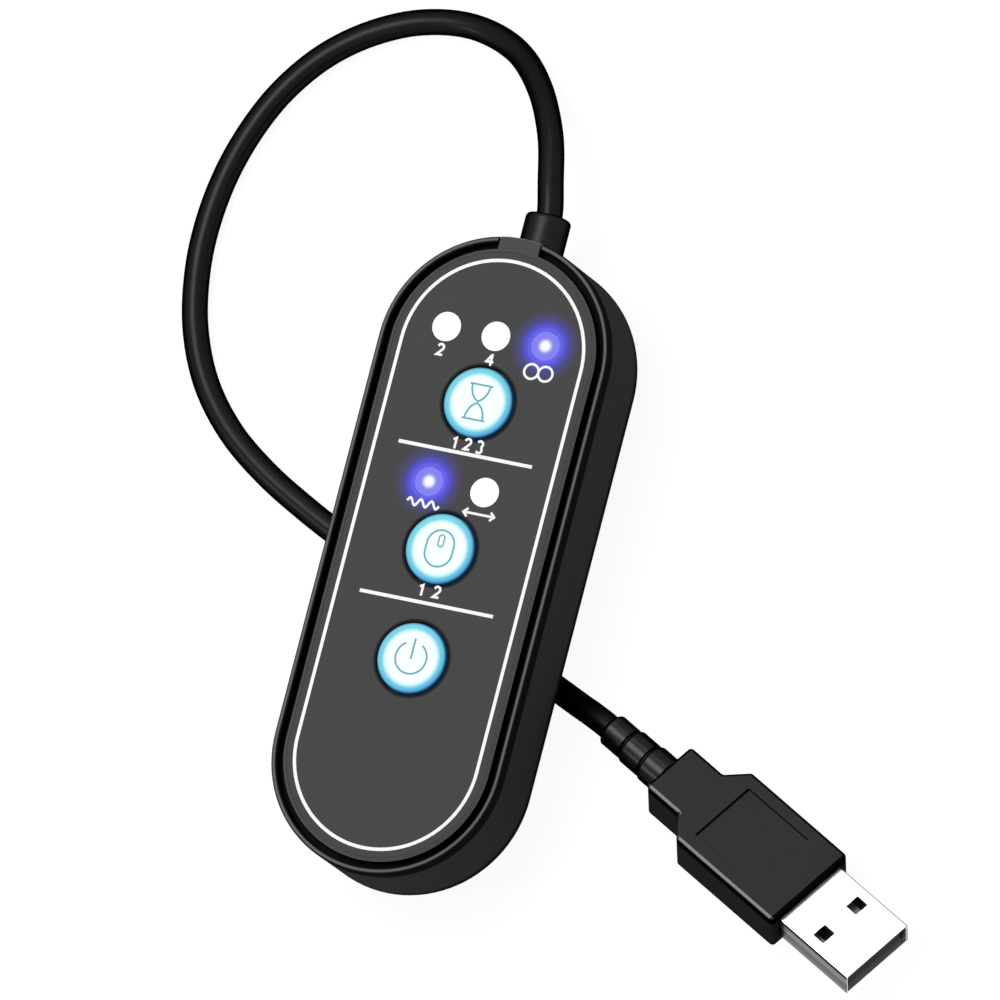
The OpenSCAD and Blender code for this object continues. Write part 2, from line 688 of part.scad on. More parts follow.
module strain_relief() color([0.07, 0.07, 0.075])
  translate([0, relief_in_y, cord_z]) rotate([-90, 0, 0]) rotate_extrude() polygon(concat(
    [[0, 0], [relief_d / 2 + relief_flange_w, 0], [relief_d / 2 + relief_flange_w, relief_flange_t],
     [relief_d / 2, relief_flange_t]],
    arc([relief_d / 2 - relief_round, relief_end_y - relief_in_y - relief_round],
        relief_round, 0, 90),
    [[0, relief_end_y - relief_in_y]]));

// The direction of the route at one of its points, square to the pieces at its two ends
function route_dir(i) = i == 0 ? [0, 1, 0]
  : i == len(cord_route) - 1 ? plug_dir
  : unit(cord_route[i + 1] - cord_route[i - 1]);

function route_ring(i) =
  let (side = unit(cross(route_dir(i), [0, 0, 1])), up = cross(side, route_dir(i)))
  [for (k = [0:cord_sides - 1]) let (a = (k + 0.5) * 360 / cord_sides)
    cord_route[i] + cord_d / 2 * (side * cos(a) + up * sin(a))];

module usb_cord() color([0.07, 0.07, 0.075]) {
  n = len(cord_route);
  polyhedron(
    points = [for (i = [0:n - 1]) each route_ring(i)],
    faces = concat(
      [[for (k = [0:cord_sides - 1]) k]],
      [for (i = [0:n - 2], k = [0:cord_sides - 1]) let (m = (k + 1) % cord_sides)
        each [[i * cord_sides + k, (i + 1) * cord_sides + k, (i + 1) * cord_sides + m],
              [i * cord_sides + k, (i + 1) * cord_sides + m, i * cord_sides + m]]],
      [[for (k = [cord_sides - 1:-1:0]) (n - 1) * cord_sides + k]]));
}

// Puts a piece on the plug's axis: X towards the mouth, Z out of the broad face
module on_plug() translate(cord_route[len(cord_route) - 1])
  rotate([0, 0, plug_heading]) rotate([plug_roll, 0, 0]) children();

// The radius of one of the boot's segments
function boot_r(i) = (boot_d0 + (boot_d1 - boot_d0) * i / (boot_segments - 1)) / 2;

// The ribbed boot: segments with round shoulders and grooves between them
module plug_boot() color([0.07, 0.07, 0.075]) on_plug() rotate([0, 90, 0]) rotate_extrude() {
  segment_l = boot_l / boot_segments;
  last = boot_segments - 1;
  polygon(concat([[0, 0]], [for (i = [0:last]) each concat(
    [[boot_r(i) - boot_shoulder, i * segment_l]],
    arc([boot_r(i) - boot_shoulder, i * segment_l + boot_shoulder], boot_shoulder, -90, 0, 5),
    [[boot_r(i), (i + 1) * segment_l - boot_groove],
     [boot_r(i) - boot_groove, (i + 1) * segment_l - boot_groove]])],
    [[boot_r(last) - boot_groove, boot_l], [0, boot_l]]));
}

// A flat bar of the given outline with a bevel along both faces' edges
module bevelled_bar(outline, inner_outline) hull() {
  translate([0, 0, -grip_t / 2 + grip_bevel]) linear_extrude(grip_t - 2 * grip_bevel)
    polygon(outline);
  translate([0, 0, -grip_t / 2]) linear_extrude(grip_t) polygon(inner_outline);
}

function neck_outline(b) = [
  [neck_x + b, neck_w / 2 - b], [grip_x, neck_w / 2 - b],
  [grip_x, b - neck_w / 2], [neck_x + b, b - neck_w / 2]];
function grip_outline(b) = [
  [shoulder_x + b / 2, neck_w / 2 - b], [grip_x + b / 2, grip_w / 2 - b],
  [front_x - b, grip_w / 2 - b], [front_x - b, b - grip_w / 2],
  [grip_x + b / 2, b - grip_w / 2], [shoulder_x + b / 2, b - neck_w / 2]];

module plug_overmould() color([0.2, 0.2, 0.205]) on_plug() difference() {
  union() {
    bevelled_bar(neck_outline(0), neck_outline(grip_bevel));
    bevelled_bar(grip_outline(0), grip_outline(grip_bevel));
  }
  translate([shell_x, -shell_w / 2 - inlay_gap, -shell_h / 2 - inlay_gap])
    cube([shell_in + slack, shell_w + 2 * inlay_gap, shell_h + 2 * inlay_gap]);
  translate([grip_x + panel_in, panel_w / 2, grip_t / 2]) rotate([90, 0, 0]) linear_extrude(panel_w)
    polygon([[0, -panel_t], [2 * panel_l, panel_t], [0, panel_t]]);
}

// A rectangle with round corners, in the plane across the plug
module round_rect(w, h, r) {
  square([w - 2 * r, h], center = true);
  square([w, h - 2 * r], center = true);
  for (x = [-1, 1], y = [-1, 1]) translate([x * (w / 2 - r), y * (h / 2 - r)]) circle(r);
}

module plug_shell() color([0.85, 0.86, 0.88]) on_plug() difference() {
  translate([shell_x, 0, 0]) rotate([90, 0, 90]) linear_extrude(shell_in + shell_out)
    difference() {
      round_rect(shell_w, shell_h, shell_round);
      round_rect(shell_w - 2 * shell_t, shell_h - 2 * shell_t, shell_round - shell_t / 2);
    }
  for (side = [-1, 1])
    translate([front_x + latch_x - latch_size[0] / 2,
               side * latch_pitch / 2 - latch_size[1] / 2, -shell_h])
      cube([latch_size[0], latch_size[1], 2 * shell_h]);
}

module plug_tongue() color([0.07, 0.07, 0.075]) on_plug()
  translate([shell_x, -shell_w / 2 + shell_t + shell_round, tongue_z])
    cube([shell_in + shell_out - tongue_back, shell_w - 2 * (shell_t + shell_round), tongue_t]);

module plug_contacts() color([0.85, 0.65, 0.25]) on_plug() {
  contact_ys = [-3.5, -1, 1, 3.5];
  outer_back = 1;
  inner_back = 2;
  for (i = [0:3]) translate([front_x + 1, contact_ys[i] - contact_w / 2, tongue_z + tongue_t])
    cube([shell_out - tongue_back - 1 - (i % 3 == 0 ? outer_back : inner_back),
          contact_w, contact_t]);
}

base_shell();
top_cover();
face_label();
label_lines();
caption_marks();
window(windows[0]);  // window_time_1
window(windows[1]);  // window_time_2
window(windows[2]);  // window_time_3
window(windows[3]);  // window_mode_1
window(windows[4]);  // window_mode_2
cap(time_y);  // time_cap
cap(mode_y);  // mode_cap
cap(power_y);  // power_cap
inlaid_face(time_y);  // time_face
inlaid_face(mode_y);  // mode_face
inlaid_face(power_y);  // power_face
time_icon();
mode_icon();
power_icon();
plunger(time_y);  // time_plunger
plunger(mode_y);  // mode_plunger
plunger(power_y);  // power_plunger
dome(time_y);  // time_dome
dome(mode_y);  // mode_dome
dome(power_y);  // power_dome
switch_bodies();
button_lamps();
indicator_lamps();
circuit_board();
controller_chip();
crystal();
chip_parts();
lead_connector();
cord_leads();
housing_screws();
rubber_feet();
strain_relief();
usb_cord();
plug_boot();
plug_overmould();
plug_shell();
plug_tongue();
plug_contacts();
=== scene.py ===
"""Looks for the desk gadget with three lit buttons: finishes, cord, plug grip, light and camera."""
import math

import bmesh
import bpy
from mathutils import Matrix, Vector


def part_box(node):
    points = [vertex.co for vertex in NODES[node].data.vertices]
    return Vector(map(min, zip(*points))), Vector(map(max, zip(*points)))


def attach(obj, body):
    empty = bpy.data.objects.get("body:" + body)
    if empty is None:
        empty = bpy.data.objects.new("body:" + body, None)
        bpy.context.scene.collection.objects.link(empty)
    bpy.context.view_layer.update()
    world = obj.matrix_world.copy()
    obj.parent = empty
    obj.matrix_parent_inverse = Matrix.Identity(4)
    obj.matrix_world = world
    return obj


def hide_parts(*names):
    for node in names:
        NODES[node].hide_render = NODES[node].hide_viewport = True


MM = 0.001

bpy.context.scene.view_settings.view_transform = "Standard"
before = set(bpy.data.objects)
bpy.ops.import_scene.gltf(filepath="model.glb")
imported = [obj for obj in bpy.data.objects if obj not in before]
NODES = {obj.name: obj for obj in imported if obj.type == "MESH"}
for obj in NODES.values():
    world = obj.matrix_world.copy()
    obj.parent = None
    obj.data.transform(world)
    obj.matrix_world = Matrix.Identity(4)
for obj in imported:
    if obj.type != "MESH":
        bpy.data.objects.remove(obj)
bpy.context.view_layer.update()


# ---- Sizes taken from the frame ----

def middle(node):
    """The middle of a node's box."""
    low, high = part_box(node)
    return (Vector(low) + Vector(high)) / 2


FACE_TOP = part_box("face_label")[1][2]
BODY_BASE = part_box("base_shell")[0][2]
WHITE = (1, 1, 1, 1)
BLACK = (0, 0, 0, 1)


def new_object(name, data):
    item = bpy.data.objects.new(name, data)
    bpy.context.scene.collection.objects.link(item)
    return item


def to_mesh(name, shape):
    """A mesh from an edited shape, which is freed."""
    data = bpy.data.meshes.new(name)
    shape.to_mesh(data)
    shape.free()
    return data


# ---- Camera ----

# The view of the photograph: a long lens from above, rolled so that the housing leans right
CAMERA_RIGHT = Vector((0.9211, 0.2487, -0.2993)).normalized()
CAMERA_BACK = Vector((0.3424, -0.1524, 0.9270)).normalized()
CAMERA_TARGET = Vector((6.314, 9.323, 19.40)) * MM
VIEW_WIDTH = 138.89 * MM
LENS = 1200.0
SENSOR = 36.0
CLIP = (0.01, 50.0)


def make_camera():
    data = bpy.data.cameras.new("camera")
    data.lens = LENS
    data.sensor_width = SENSOR
    data.clip_start, data.clip_end = CLIP
    camera = new_object("camera", data)
    up = CAMERA_BACK.cross(CAMERA_RIGHT)
    turn = Matrix((CAMERA_RIGHT, up, CAMERA_BACK)).transposed().to_4x4()
    distance = VIEW_WIDTH * LENS / SENSOR
    camera.matrix_world = Matrix.Translation(CAMERA_TARGET + CAMERA_BACK * distance) @ turn
    bpy.context.scene.camera = camera


make_camera()


# ---- Where the cord and the plug lie ----

# The route from the strain relief to the plug's boot, in millimetres, as in the part's source
CORD_ROUTE = [Vector(point) * MM for point in (
    (0, 51.2, 11.5), (-1.2, 56, 11.2), (-3.6, 63, 9.8), (-8.1, 69.9, 6.9), (-14, 74.9, 3.9),
    (-21.5, 77.2, 2.3), (-29.2, 76.5, 1.9), (-36.1, 73.6, 1.9), (-42, 69.2, 1.9),
    (-46.6, 63.5, 1.9), (-49.7, 57.3, 1.9), (-51.8, 50.3, 1.9), (-52.7, 43, 1.9),
    (-52.4, 35.7, 1.9), (-50.6, 27.8, 1.9), (-46.9, 20.3, 1.9), (-41.4, 14.1, 1.9),
    (-34.7, 9.3, 1.9), (-27.4, 5.4, 1.9), (-20, 2, 1.9), (-12.5, -1.1, 1.9), (-5, -4, 1.9),
    (2.5, -6.9, 1.9), (9, -9.6, 1.9), (14.5, -12, 2.1), (17.3, -13.2, 2.9), (20.1, -14.4, 4.3),
    (23, -15.6, 5.6), (26, -17, 6.2))]
CORD_D = 3.7 * MM
PLUG_HEADING = math.radians(-27.6)
PLUG_ROLL = math.radians(-23)
PLUG_FRAME = (Matrix.Translation(CORD_ROUTE[-1]) @ Matrix.Rotation(PLUG_HEADING, 4, "Z")
              @ Matrix.Rotation(PLUG_ROLL, 4, "X"))


# ---- Materials ----

GLOSS_SPREAD = 0.05
NOISE_ROUGHNESS = 0.5

def linear(code):
    """A colour written as the screen shows it, such as "4a4a4a", as linear light."""
    parts = [int(code[i:i + 2], 16) / 255 for i in (0, 2, 4)]
    return tuple(p / 12.92 if p <= 0.04045 else ((p + 0.055) / 1.055) ** 2.4 for p in parts)


def rgba(code, gain=1.0):
    return tuple(min(1.0, p * gain) for p in linear(code)) + (1.0,)


def add(tree, kind, **values):
    """A shader node, with its properties or its unlinked inputs set by name."""
    node = tree.nodes.new(kind)
    for name, value in values.items():
        if hasattr(node, name):
            setattr(node, name, value)
        else:
            node.inputs[name.replace("_", " ")].default_value = value
    return node


def parts(material):
    """A material's node tree and its shader."""
    tree = material.node_tree
    return tree, tree.nodes["Principled BSDF"]


def new_material(name):
    material = bpy.data.materials.new(name)
    material.use_nodes = True
    return (material, *parts(material))


def base_colour(shader):
    """The socket that colours the shader so far."""
    return shader.inputs["Base Color"].links[0].from_socket


def shine(tree, shader, colour, strength=1.0):
    """Lights the surface with a colour of its own."""
    tree.links.new(colour, shader.inputs["Emission Color"])
    shader.inputs["Emission Strength"].default_value = strength


def noise(tree, grain, detail=3.0):
    """Noise in the object's own space, with the size of its grain in metres."""
    place = add(tree, "ShaderNodeTexCoord")
    texture = add(tree, "ShaderNodeTexNoise", Scale=1 / grain, Detail=detail,
                  Roughness=NOISE_ROUGHNESS)
    tree.links.new(place.outputs["Object"], texture.inputs["Vector"])
    return texture.outputs["Fac"]


def vary_gloss(tree, shader, roughness, patch):
    """Lets the gloss vary a little over the surface."""
    gloss = add(tree, "ShaderNodeMapRange", To_Min=roughness - GLOSS_SPREAD,
                To_Max=roughness + GLOSS_SPREAD)
    tree.links.new(noise(tree, patch), gloss.inputs["Value"])
    tree.links.new(gloss.outputs["Result"], shader.inputs["Roughness"])


def finish(name, colour, roughness, *, metallic=0.0, specular=0.5, tone=0.06, patch=4 * MM,
           grain=0.25 * MM, bump=0.01 * MM):
    """A moulded or plated surface: its tone, gloss and fine grain vary a little over it."""
    material, tree, shader = new_material(name)
    shader.inputs["Metallic"].default_value = metallic
    shader.inputs["Specular IOR Level"].default_value = specular
    mix = add(tree, "ShaderNodeMix", data_type="RGBA")
    mix.inputs["A"].default_value = rgba(colour, 1 - tone)
    mix.inputs["B"].default_value = rgba(colour, 1 + tone)
    tree.links.new(noise(tree, patch), mix.inputs["Factor"])
    tree.links.new(mix.outputs["Result"], shader.inputs["Base Color"])
    vary_gloss(tree, shader, roughness, patch / 3)
    relief = add(tree, "ShaderNodeBump", Distance=bump, Strength=1.0)
    tree.links.new(noise(tree, grain, 2.0), relief.inputs["Height"])
    tree.links.new(relief.outputs["Normal"], shader.inputs["Normal"])
    return material


def distance_from(tree, centre):
    """Distance from a point of the part, in millimetres."""
    place = add(tree, "ShaderNodeTexCoord")
    gap = add(tree, "ShaderNodeVectorMath", operation="DISTANCE")
    gap.inputs[1].default_value = centre
    tree.links.new(place.outputs["Object"], gap.inputs[0])
    scale = add(tree, "ShaderNodeMath", operation="MULTIPLY")
    scale.inputs[1].default_value = 1 / MM
    tree.links.new(gap.outputs["Value"], scale.inputs[0])
    return scale.outputs[0]


def along(tree, axis, start):
    """The place along a direction of the part, in millimetres from a starting point."""
    place = add(tree, "ShaderNodeTexCoord")
    shift = add(tree, "ShaderNodeVectorMath", operation="SUBTRACT")
    shift.inputs[1].default_value = start
    tree.links.new(place.outputs["Object"], shift.inputs[0])
    reach = add(tree, "ShaderNodeVectorMath", operation="DOT_PRODUCT")
    reach.inputs[1].default_value = Vector(axis) / MM
    tree.links.new(shift.outputs["Vector"], reach.inputs[0])
    return reach.outputs["Value"]


def height(tree):
    """The height over the label, in millimetres."""
    return along(tree, (0, 0, 1), (0, 0, FACE_TOP))


def ramp(tree, value, stops):
    """A colour ramp with stops of (place, colour code)."""
    low, top = stops[0][0], stops[-1][0]
    share = add(tree, "ShaderNodeMapRange", From_Min=low, From_Max=top)
    tree.links.new(value, share.inputs["Value"])
    colours = add(tree, "ShaderNodeValToRGB")
    elements = colours.color_ramp.elements
    while len(elements) < len(stops):
        elements.new(0.5)
    for element, (place, code) in zip(elements, stops):
        element.position = (place - low) / (top - low)
        element.color = rgba(code)
    tree.links.new(share.outputs["Result"], colours.inputs["Fac"])
    return colours.outputs["Color"]


def glowing(name, centre, stops):
    """A lit surface whose colour runs outward from its centre."""
    material, tree, shader = new_material(name)
    shine(tree, shader, ramp(tree, distance_from(tree, centre), stops))
    shader.inputs["Base Color"].default_value = rgba("101214")
    shader.inputs["Specular IOR Level"].default_value = 0.1
    vary_gloss(tree, shader, 0.35, 1.2 * MM)
    return material


def gloss_black(name, shade, roughness, **values):
    """Black rubber or plastic whose edges stay black against the white background."""
    material = finish(name, shade, roughness, metallic=1.0, **values)
    parts(material)[1].inputs["Specular Tint"].default_value = BLACK
    return material


def blend(tree, kind, first, second):
    """Two colours added, multiplied or the lighter of both."""
    both = add(tree, "ShaderNodeMix", data_type="RGBA", blend_type=kind)
    both.inputs["Factor"].default_value = 1.0
    tree.links.new(first, both.inputs["A"])
    tree.links.new(second, both.inputs["B"])
    return both.outputs["Result"]


def share_over(tree, value, low, high):
    """0 where the value is below low, 1 where it is over high."""
    share = add(tree, "ShaderNodeMapRange", From_Min=low, From_Max=high)
    tree.links.new(value, share.inputs["Value"])
    return share.outputs["Result"]


def choose(tree, share, first, second):
    """The first colour where the share is 0, the second where it is 1."""
    both = add(tree, "ShaderNodeMix", data_type="RGBA")
    tree.links.new(share, both.inputs["Factor"])
    tree.links.new(first, both.inputs["A"])
    tree.links.new(second, both.inputs["B"])
    return both.outputs["Result"]


# Stops are (place in millimetres, colour): outward from a centre, or up to the label's top
LIT_WINDOWS = ("window_time_3", "window_mode_1")
# Painted light: the blue glow that the lit windows cast on the label around them
HALO = [(0.0, "4c46e1"), (2.4, "4b46e1"), (2.8, "352ccb"), (3.2, "2c23ae"), (3.6, "191680"),
        (4.0, "161663"), (4.4, "121247"), (5.2, "000000")]
WINDOW_GLOW = [(0.0, "ffffff"), (0.5, "fafaff"), (0.8, "c4c8f8"), (1.1, "8280e4"), (1.6, "7676f0"),
               (1.9, "7c78f6"), (2.2, "6a66ea")]
BUTTONS = ("time", "mode", "power")
FACE_GLOW = [(0.0, "f2fafa"), (3.3, "f6fdfd"), (3.7, "e8fcfc"), (4.0, "b4e8f4"), (4.3, "68c8e4")]
# Painted shade on the label at the edge of each button's hole
HOLE_SHADE = [(0.0, "34404e"), (5.3, "34404e"), (5.5, "707a86"), (5.8, "ffffff")]
# Painted shade at the foot of each cap, where it meets its hole
CAP_SHADE = [(0.0, "ffffff"), (4.7, "ffffff"), (4.92, "b4b4c0"), (5.04, "343c50"), (6.0, "141c28")]
CAP_SLANT = (0.6, -0.8, 0.0)
CAP_REACH = 5.05 * MM
BASE_Z = (BODY_BASE - FACE_TOP) / MM
# Painted shade on the housing: darker along its lower edge and under the lip
SHELL_PAINTED_SHADE = [(BASE_Z, "808080"), (BASE_Z + 2.4, "808080"), (BASE_Z + 3.4, "ffffff"),
               (-2.4, "ffffff"), (-2.05, "808080"), (0.0, "808080")]
# Painted highlight on the crest of the housing's lip
SHELL_PAINTED_HIGHLIGHT = [(-0.1, "000000"), (-0.05, "404040"), (0.0, "5a5a5a")]
# Painted shade on the cover's sides
COVER_PAINTED_SHADE = [(-0.36, "202020"), (-0.3, "404040"), (-0.26, "ffffff"), (0.0, "ffffff")]
# Painted highlight on the cover's edge
COVER_PAINTED_HIGHLIGHT = [(-0.28, "000000"), (-0.25, "646464"), (-0.05, "585858"), (-0.02, "000000")]
# The plug's stops are from its underside to its top
# Painted shade on the plated sheet's rolled sides
ROLLED_SIDE_PAINTED_SHADE = [(-2.3, "202020"), (-1.9, "585858"), (-1.2, "606060"), (-0.7, "343434"),
               (0.2, "3c3c3c"), (0.7, "707070"), (1.5, "686868"), (1.9, "242424"),
               (2.3, "202020")]
ROLLED_FROM, ROLLED_FULL = 5.75, 5.85
# Painted shade on the grip's sides next to its rounded edges
GRIP_SIDE_PAINTED_SHADE = [(-3.75, "404040"), (-3.3, "404040"), (-2.9, "ffffff"), (1.8, "ffffff"),
              (2.6, "404040"), (3.75, "404040")]
NODE_CREASE = math.radians(30)
GRIP_CREASE = math.radians(25)


def label_finish():
    """The printed label: flat dark grey, with a painted blue glow where the lit windows shine on
    it, and painted shade at the edge of each button's hole."""
    material = finish("label_grey", "464646", 0.5, specular=0.05, tone=0.03, patch=3 * MM,
                      grain=0.12 * MM, bump=0.003 * MM)
    tree, shader = parts(material)
    spots = [middle(node) for node in LIT_WINDOWS]
    halos = [ramp(tree, distance_from(tree, (spot.x, spot.y, FACE_TOP)), HALO) for spot in spots]
    shine(tree, shader, blend(tree, "ADD", *halos))
    colour = base_colour(shader)
    for name in BUTTONS:
        spot = middle(name + "_face")
        shade = ramp(tree, distance_from(tree, (spot.x, spot.y, FACE_TOP)), HOLE_SHADE)
        colour = blend(tree, "MULTIPLY", colour, shade)
    tree.links.new(colour, shader.inputs["Base Color"])
    return material


def cap_finish(name, centre, top):
    """A lit translucent rim, paler towards the upper left, with painted shade at its foot."""
    material, tree, shader = new_material(name)
    place = add(tree, "ShaderNodeTexCoord")
    slant = add(tree, "ShaderNodeVectorMath", operation="DOT_PRODUCT")
    slant.inputs[1].default_value = CAP_SLANT
    tree.links.new(place.outputs["Object"], slant.inputs[0])
    start = CAP_SLANT[0] * centre.x + CAP_SLANT[1] * centre.y
    share = share_over(tree, slant.outputs["Value"], start - CAP_REACH, start + CAP_REACH)
    colours = add(tree, "ShaderNodeValToRGB")
    colours.color_ramp.elements[0].color = rgba("78d8e8")
    colours.color_ramp.elements[1].color = rgba("4cb4e4")
    tree.links.new(share, colours.inputs["Fac"])
    shade = ramp(tree, distance_from(tree, (centre.x, centre.y, top)), CAP_SHADE)
    shine(tree, shader, blend(tree, "MULTIPLY", colours.outputs["Color"], shade), 0.9)
    shader.inputs["Base Color"].default_value = rgba("06141c")
    shader.inputs["Roughness"].default_value = 0.3
    shader.inputs["Specular IOR Level"].default_value = 0.15
    return material


def shell_finish():
    """The housing: a satin side; its lip's crest has a little gloss and a painted highlight, and
    painted shade darkens the side under the lip and along its lower edge.
    """
    material = finish("housing_black", "3b3b3c", 0.4)
    tree, shader = parts(material)
    level = height(tree)
    colour = blend(tree, "MULTIPLY", base_colour(shader), ramp(tree, level, SHELL_PAINTED_SHADE))
    crest = ramp(tree, level, SHELL_PAINTED_HIGHLIGHT)
    tree.links.new(blend(tree, "LIGHTEN", colour, crest), shader.inputs["Base Color"])
    polish = add(tree, "ShaderNodeMapRange", From_Min=-0.1, From_Max=-0.02, To_Min=0.0, To_Max=0.2)
    tree.links.new(level, polish.inputs["Value"])
    tree.links.new(polish.outputs["Result"], shader.inputs["Specular IOR Level"])
    return material


def cover_finish():
    """The cover's grey, with a painted highlight on its edge and painted shade on its sides."""
    material = finish("cover_grey", "424242", 0.45, specular=0.1, tone=0.04)
    tree, shader = parts(material)
    level = height(tree)
    colour = blend(tree, "MULTIPLY", base_colour(shader), ramp(tree, level, COVER_PAINTED_SHADE))
    edge = ramp(tree, level, COVER_PAINTED_HIGHLIGHT)
    tree.links.new(blend(tree, "LIGHTEN", colour, edge), shader.inputs["Base Color"])
    return material


def plug_place(tree, column):
    """The place along an axis of the plug, in millimetres."""
    return along(tree, PLUG_FRAME.col[column].to_3d(), PLUG_FRAME.translation)


def plated_finish():
    """Bright plated sheet; its rolled sides carry painted shade: darker, with dark lines."""
    material = finish("shell_metal", "f6f6f6", 0.25, metallic=1.0, tone=0.01, bump=0.002 * MM)
    tree, shader = parts(material)
    across = add(tree, "ShaderNodeMath", operation="ABSOLUTE")
    tree.links.new(plug_place(tree, 1), across.inputs[0])
    rolled = ramp(tree, plug_place(tree, 2), ROLLED_SIDE_PAINTED_SHADE)
    share = share_over(tree, across.outputs[0], ROLLED_FROM, ROLLED_FULL)
    tree.links.new(choose(tree, share, base_colour(shader), rolled), shader.inputs["Base Color"])
    return material


def grip_side_finish():
    """The grip's sides: a darker painted shade of the grip's black, deepest next to the rounded
    edges.
    """
    material = finish("plug_side_painted_shade", "262626", 0.45, specular=0.0, tone=0.1, patch=1.5 * MM)
    tree, shader = parts(material)
    bands = ramp(tree, plug_place(tree, 2), GRIP_SIDE_PAINTED_SHADE)
    tree.links.new(blend(tree, "MULTIPLY", base_colour(shader), bands),
                   shader.inputs["Base Color"])
    return material


def paint(node, material):
    """Gives a CAD node its finish and even shading over its curved faces."""
    item = NODES[node]
    for slot in item.material_slots:
        slot.material = material
    item.data.shade_smooth()
    item.data.set_sharp_from_angle(angle=NODE_CREASE)


def paint_nodes():
    """Finishes for every CAD node, the hidden ones too."""
    white_print = finish("print_white", "ffffff", 0.6, specular=0.2, tone=0.0, patch=2 * MM)
    paint("base_shell", shell_finish())
    paint("top_cover", cover_finish())
    paint("face_label", label_finish())
    paint("label_lines", white_print)
    paint("caption_marks", white_print)
    pale = finish("window_white", "fcfcff", 0.35, specular=0.4, tone=0.01, patch=2 * MM)
    for node in ("window_time_1", "window_time_2", "window_mode_2"):
        paint(node, pale)
    for node in LIT_WINDOWS:
        spot = middle(node)
        paint(node, glowing("lit_" + node, (spot.x, spot.y, FACE_TOP), WINDOW_GLOW))
    ink = finish("icon_ink", "5cb0bc", 0.5, specular=0.2, tone=0.03, patch=2 * MM)
    plastic = finish("switch_plastic", "1c1c1e", 0.45)
    steel = finish("spring_steel", "c0c0bc", 0.3, metallic=1.0, tone=0.03)
    for name in BUTTONS:
        centre = middle(name + "_face")
        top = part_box(name + "_face")[1][2]
        paint(name + "_cap", cap_finish("cap_" + name, centre, top))
        paint(name + "_face", glowing("face_" + name, (centre.x, centre.y, top), FACE_GLOW))
        paint(name + "_icon", ink)
        paint(name + "_plunger", plastic)
        paint(name + "_dome", steel)
    paint("switch_bodies", plastic)
    lamp = finish("lamp_white", "e8ecff", 0.4, tone=0.02, patch=MM)
    paint("button_lamps", lamp)
    paint("indicator_lamps", lamp)
    paint("circuit_board", finish("board_green", "0d5a34", 0.4, tone=0.12, patch=1.5 * MM))
    paint("controller_chip", finish("chip_black", "1a1a1b", 0.55))
    paint("crystal", steel)
    paint("chip_parts", finish("chip_brown", "9a7c52", 0.5, patch=MM))
    paint("lead_connector", finish("connector_cream", "e8e4d8", 0.5, patch=2 * MM))
    paint("cord_leads", finish("lead_copper", "b03020", 0.45, patch=MM))
    paint("housing_screws", steel)
    paint("rubber_feet", finish("foot_rubber", "1b1b1b", 0.8, specular=0.2, tone=0.12))
    paint("strain_relief", gloss_black("relief_black", "232324", 0.38, tone=0.1))
    paint("plug_boot", gloss_black("boot_black", "262627", 0.3, tone=0.1))
    paint("plug_tongue", finish("tongue_black", "2c2c2e", 0.5, specular=0.05, patch=2 * MM))
    paint("plug_contacts", finish("contact_gold", "9c9a92", 0.4, metallic=1.0, patch=MM))
    paint("plug_shell", plated_finish())


paint_nodes()


# ---- Cord ----

CORD_STEPS = 6
CORD_ROUNDING = 8


def smooth_route(points, steps):
    """Points of a smooth curve through the route, straight out of both ends."""
    first = points[0] - Vector((0, points[1].y - points[0].y, 0))
    last = points[-1] + PLUG_FRAME.to_3x3() @ Vector(((points[-1] - points[-2]).length, 0, 0))
    ends = [first] + list(points) + [last]
    curve = []
    for i in range(1, len(ends) - 2):
        a, b, c, d = ends[i - 1:i + 3]
        for k in range(steps):
            t = k / steps
            curve.append(0.5 * (2 * b + (c - a) * t + (2 * a - 5 * b + 4 * c - d) * t * t
                                + (3 * b - a - 3 * c + d) * t ** 3))
    curve.append(ends[-2])
    return curve


def on_housing(name, data):
    """An object that stays with the housing."""
    item = new_object(name, data)
    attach(item, "housing")
    return item


def make_cord():
    """The cord's jacket, its length, and the CAD pieces that move with its far end."""
    route = smooth_route(CORD_ROUTE, CORD_STEPS)
    data = bpy.data.curves.new("cord_jacket", "CURVE")
    data.dimensions = "3D"
    data.bevel_depth = CORD_D / 2
    data.bevel_resolution = CORD_ROUNDING
    data.use_fill_caps = True
    spline = data.splines.new("POLY")
    spline.points.add(len(route) - 1)
    for point, place in zip(spline.points, route):
        point.co = (*place, 1.0)
    spline.use_smooth = True
    data.materials.append(gloss_black("cord_black", "1d1d1e", 0.34, tone=0.08, grain=0.4 * MM,
                                      bump=0.006 * MM))
    cord = on_housing("cord_jacket", data)
    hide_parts("usb_cord")
    length = sum((b - a).length for a, b in zip(route, route[1:]))
    plug = [NODES[name] for name in ("plug_boot", "plug_shell", "plug_tongue", "plug_contacts")]
    return cord, length, plug


cord, cord_length, cord_pieces = make_cord()


# ---- Plug grip ----

# In millimetres; x runs from the cord's end of the boot to the plug's mouth
BOOT_L, NECK_L, SHOULDER_L, GRIP_L = 11.4, 6.3, 2.7, 18.8
NECK_X = BOOT_L
SHOULDER_X = NECK_X + NECK_L
GRIP_X = SHOULDER_X + SHOULDER_L
FRONT_X = GRIP_X + GRIP_L
NECK_HALF = 4.4
GRIP_HALF = 7.4
GRIP_HALF_T = 3.75

# Radius and steps of the rounding at the rims, at both ends' corners and at the shoulders
RIM_ROUND = (0.5, 5)
CORNER_ROUND = (0.6, 5)
SHOULDER_ROUND = (0.25, 3)
SAME_HEIGHT = 1e-7
AT_END = 1e-6

